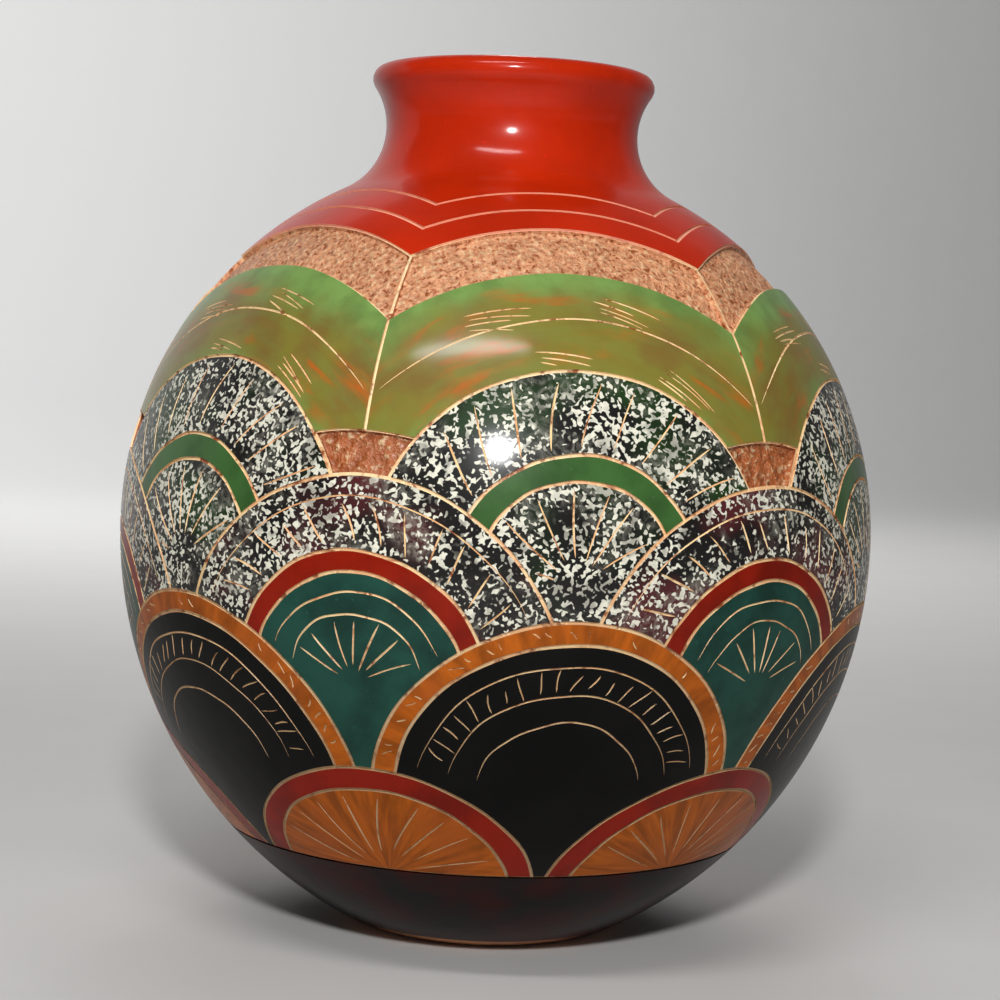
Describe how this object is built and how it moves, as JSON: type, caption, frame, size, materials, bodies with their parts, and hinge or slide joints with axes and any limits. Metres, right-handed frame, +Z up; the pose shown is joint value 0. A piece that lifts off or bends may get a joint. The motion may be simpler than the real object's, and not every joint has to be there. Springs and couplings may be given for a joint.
{
  "type": "pottery vase",
  "caption": "Round thrown vase with a short flared neck and a rolled lip, coated in coloured slips that incised lines cut into a scalloped collar and tiers of overlapping fans.",
  "frame": {"origin": "centre of the foot ring's underside, on the table", "axes": "+Z up along the vase's axis, -Y towards the front, where an upper fan faces"},
  "size_m": [0.2, 0.2, 0.2276],
  "materials": {
    "fired_clay": "bare low-fired clay, matt",
    "luting_clay": "dried clay slurry, matt",
    "red_slip": "burnished slip, waxed gloss",
    "green_slip": "burnished slip, streaked, waxed gloss",
    "stripe_green_slip": "burnished slip, waxed gloss",
    "sponged_slip": "sponged black and cream slip, waxed gloss",
    "maroon_sponged_slip": "sponged maroon and cream slip, waxed gloss",
    "dark_red_slip": "burnished slip, waxed gloss",
    "teal_slip": "burnished slip, waxed gloss",
    "amber_slip": "brushed slip, waxed gloss",
    "black_slip": "burnished slip, waxed gloss",
    "foot_slip": "burnished slip, waxed gloss"
  },
  "bodies": {
    "root": {"lower_bowl": "fired_clay", "belly_luting": "luting_clay", "upper_bowl": "fired_clay", "neck_luting": "luting_clay", "neck_collar": "fired_clay", "red_collar_slip": "red_slip", "red_scallop_strips": "red_slip", "green_ground_slip": "green_slip", "upper_fan_rims": "sponged_slip", "upper_fan_stripes": "stripe_green_slip", "upper_fan_hearts": "sponged_slip", "middle_fan_rims": "maroon_sponged_slip", "middle_fan_stripes": "dark_red_slip", "middle_fan_hearts": "teal_slip", "lower_fan_rims": "amber_slip", "lower_fan_fields": "black_slip", "bottom_fan_rims": "dark_red_slip", "bottom_fan_fields": "amber_slip", "foot_band_slip": "foot_slip"}
  },
  "joints": []
}
